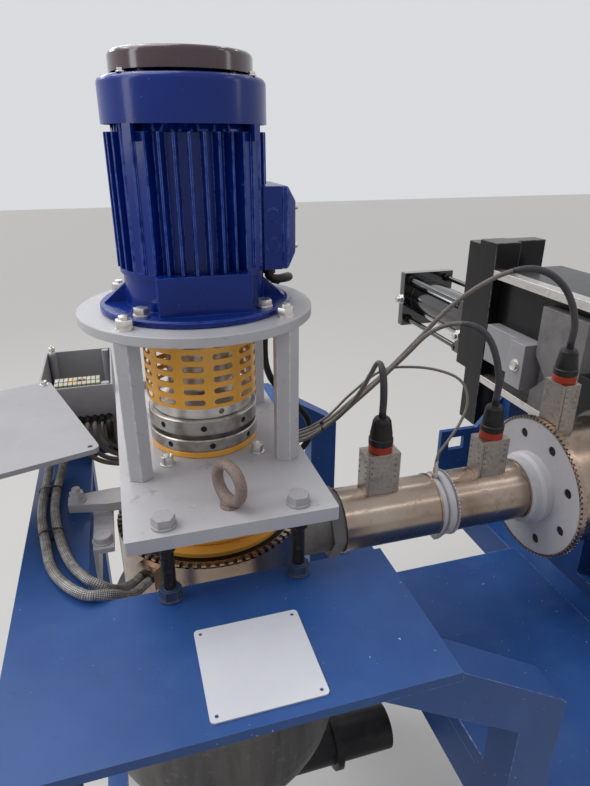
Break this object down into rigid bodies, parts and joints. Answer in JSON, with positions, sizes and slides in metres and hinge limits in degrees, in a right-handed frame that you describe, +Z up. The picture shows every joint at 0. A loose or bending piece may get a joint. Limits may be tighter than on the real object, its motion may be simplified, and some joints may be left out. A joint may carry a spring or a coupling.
{
  "type": "plastic extruder discharge end with hot cut head",
  "caption": "Discharge end of a plastics extruder: heated melt pipe, screen changer and a die head cut by a motor on a four post stand, on a welded steel frame.",
  "frame": {"origin": "centre of the bounding box at floor level", "axes": "+X along the melt pipe to the barrel, +Y away from the operator, +Z up"},
  "size_m": [1.5734, 1.417, 1.601],
  "materials": {
    "blue_paint": "satin",
    "white_plate": "gloss",
    "grey_paint": "satin",
    "black_oxide": "oiled",
    "motor_blue": "gloss",
    "canopy_brown": "gloss",
    "yellow_paint": "satin",
    "bright_steel": "machined",
    "rusty_steel": "rusty",
    "cast_grey": "cast",
    "heater_skin": "heat tinted",
    "film_grey": "dirty",
    "black_plastic": "moulded",
    "galvanised": "galvanised",
    "red_plastic": "moulded",
    "dark_paint": "satin",
    "box_grey": "satin",
    "terminal_beige": "moulded",
    "grey_braid": "satin",
    "black_rubber": "satin",
    "steel_braid": "braided"
  },
  "bodies": {
    "root": {"table_plate": "blue_paint", "table_frame": "blue_paint", "table_necks": "blue_paint", "base_frame": "blue_paint", "base_tray": "blue_paint", "sign_plate": "white_plate", "head_plate": "grey_paint", "jack_studs": "black_oxide", "stand_posts": "grey_paint", "motor_plate": "grey_paint", "motor_end_shield": "motor_blue", "motor_stator": "motor_blue", "motor_rear_shield": "motor_blue", "fan_cowl": "motor_blue", "canopy": "canopy_brown", "terminal_box": "motor_blue", "terminal_lid": "motor_blue", "coupling_guard": "yellow_paint", "quill": "bright_steel", "ring_nuts": "bright_steel", "quill_collar": "yellow_paint", "eye_bolt": "rusty_steel", "cutter_ring": "yellow_paint", "die_head": "cast_grey", "head_heater": "heater_skin", "head_bracket": "grey_paint", "pellet_chamber": "film_grey", "pellet_outlet": "black_plastic", "inlet_hub": "grey_paint", "melt_pipe": "cast_grey", "heater_band_1": "heater_skin", "heater_band_2": "heater_skin", "heater_band_3": "heater_skin", "heater_boxes": "galvanised", "plug_rings": "red_plastic", "heater_plugs": "black_plastic", "pipe_clamp": "grey_paint", "thermocouple": "bright_steel", "big_flange": "grey_paint", "flange_heater": "heater_skin", "barrel": "cast_grey", "changer_body": "dark_paint", "changer_rails": "bright_steel", "changer_cover": "cast_grey", "clamp_block": "grey_paint", "changer_yoke": "dark_paint", "hydraulic_cylinder": "dark_paint", "junction_box": "box_grey", "junction_lid": "box_grey", "terminal_strip": "terminal_beige", "cable_glands": "black_plastic", "heater_lead_1": "grey_braid", "heater_lead_2": "grey_braid", "heater_lead_3": "grey_braid", "probe_lead_1": "grey_braid", "motor_cable": "black_rubber", "skin_cable_1": "steel_braid", "skin_cable_2": "steel_braid"},
    "rotor": {"drive_shaft": "bright_steel", "shaft_coupling": "bright_steel"}
  },
  "joints": [
    {"name": "shaft_spin", "type": "hinge", "parent": "root", "child": "rotor", "pos_m": [-0.36175, -0.2865, 1.2205], "axis": [0, 0, 1], "continuous": true}
  ]
}
